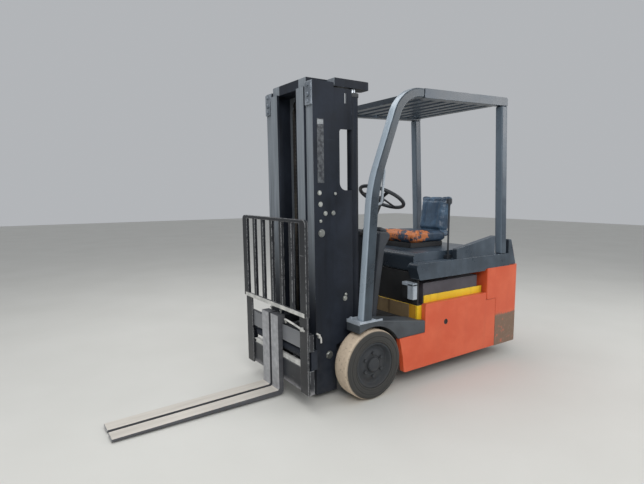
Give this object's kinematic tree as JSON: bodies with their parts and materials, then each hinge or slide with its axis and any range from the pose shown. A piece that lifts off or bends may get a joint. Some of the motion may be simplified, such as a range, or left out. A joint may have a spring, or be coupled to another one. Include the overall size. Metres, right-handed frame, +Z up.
{
  "type": "forklift",
  "caption": "Three-wheel electric counterbalance forklift with a two-stage mast, overhead guard and lowered forks.",
  "frame": {"origin": "on the floor under the middle of the truck's overall length", "axes": "+X forward over the forks, +Y to the truck's left, +Z up"},
  "size_m": [3.1036, 0.99, 2.061],
  "materials": {
    "body_orange": "worn gloss paint with dust",
    "frame_dark": "worn black chassis paint",
    "guard_grey": "worn blue-grey gloss paint",
    "step_grey": "moulded, scuffed",
    "battery_yellow": "worn yellow paint",
    "moulded_black": "moulded grain",
    "seat_vinyl": "vinyl",
    "mast_dark": "greased dark paint",
    "bright_steel": "bright, oiled",
    "fork_steel": "black forging worn bright on top",
    "chain_steel": "greased leaf chain",
    "tyre": "dusty solid rubber",
    "lamp_red": "faded lamp lens and housing",
    "wheel_paint": "dusty dark paint"
  },
  "bodies": {
    "chassis": {"chassis_frame": "frame_dark", "drive_axle": "frame_dark", "mast_pins": "bright_steel", "tilt_anchors": "frame_dark", "step_left": "step_grey", "step_right": "step_grey", "side_panel_left": "body_orange", "side_panel_right": "body_orange", "counterweight": "body_orange", "hood_rail_left": "guard_grey", "hood_rail_right": "guard_grey", "rear_lamp_left": "lamp_red", "rear_lamp_right": "lamp_red", "side_lever": "moulded_black", "battery": "frame_dark", "battery_trim": "battery_yellow", "front_panel": "frame_dark", "guard_front_left": "guard_grey", "guard_front_right": "guard_grey", "guard_rear_left": "guard_grey", "guard_rear_right": "guard_grey", "roof": "guard_grey", "floor": "frame_dark", "cowl": "moulded_black", "steering": "moulded_black"},
    "hood": {"battery_hood": "guard_grey", "seat_base": "frame_dark", "seat_cushion": "seat_vinyl", "seat_back": "seat_vinyl"},
    "outer_mast": {"outer_mast": "mast_dark", "lift_barrels": "mast_dark", "lift_chains_rear": "chain_steel"},
    "inner_mast": {"inner_mast": "mast_dark", "lift_rods": "bright_steel", "chain_pulleys": "bright_steel"},
    "carriage": {"carriage": "mast_dark", "shift_tube": "mast_dark", "fork_left": "fork_steel", "fork_right": "fork_steel", "load_backrest": "mast_dark", "lift_chains_front": "chain_steel"},
    "tilt_barrels": {"tilt_barrels": "mast_dark"},
    "tilt_rods": {"tilt_rods": "bright_steel"},
    "front_wheel_left": {"front_tyre_left": "tyre", "front_wheel_left": "wheel_paint"},
    "front_wheel_right": {"front_tyre_right": "tyre", "front_wheel_right": "wheel_paint"},
    "steer_yoke": {"steer_yoke": "frame_dark"},
    "rear_wheel": {"rear_tyres": "tyre", "rear_wheels": "wheel_paint"}
  },
  "joints": [
    {"name": "front_wheel_left_spin", "type": "hinge", "parent": "chassis", "child": "front_wheel_left", "pos_m": [0.04321, 0.42, 0.2285], "axis": [0, 1, 0], "continuous": true},
    {"name": "front_wheel_right_spin", "type": "hinge", "parent": "chassis", "child": "front_wheel_right", "pos_m": [0.04321, -0.42, 0.2285], "axis": [0, 1, 0], "continuous": true},
    {"name": "rear_steer", "type": "hinge", "parent": "chassis", "child": "steer_yoke", "pos_m": [-1.30679, 0, 0.19], "axis": [0, 0, 1], "range_deg": [-90, 90]},
    {"name": "rear_wheel_spin", "type": "hinge", "parent": "steer_yoke", "child": "rear_wheel", "pos_m": [-1.30679, 0, 0.19], "axis": [0, 1, 0], "continuous": true},
    {"name": "mast_tilt", "type": "hinge", "parent": "chassis", "child": "outer_mast", "pos_m": [0.14821, 0, 0.19], "axis": [0, 1, 0], "range_deg": [-7, 3]},
    {"name": "mast_lift", "type": "slide", "parent": "outer_mast", "child": "inner_mast", "axis": [0.0175, 0, 0.9998], "range_m": [0, 1.38], "deforming": ["lift_chains_rear"]},
    {"name": "carriage_lift", "type": "slide", "parent": "inner_mast", "child": "carriage", "axis": [0.0175, 0, 0.9998], "range_m": [0, 1.38], "deforming": ["lift_chains_front"]},
    {"name": "tilt_barrel_swing", "type": "hinge", "parent": "chassis", "child": "tilt_barrels", "pos_m": [-0.2868, 0, 0.345], "axis": [0, 1, 0], "range_deg": [-3, 3]},
    {"name": "tilt_rod_slide", "type": "slide", "parent": "tilt_barrels", "child": "tilt_rods", "axis": [0.9942, 0, 0.1074], "range_m": [-0.035, 0.02]},
    {"name": "battery_hood_hinge", "type": "hinge", "parent": "chassis", "child": "hood", "pos_m": [-1.15179, 0, 0.858], "axis": [0, -1, 0], "range_deg": [0, 75]}
  ],
  "couplings": [
    {"joint": "carriage_lift", "follows": "mast_lift", "ratio": 1},
    {"joint": "tilt_barrel_swing", "follows": "mast_tilt", "ratio": -0.10177},
    {"joint": "tilt_rod_slide", "follows": "mast_tilt", "m_per_rad": 0.19979}
  ]
}
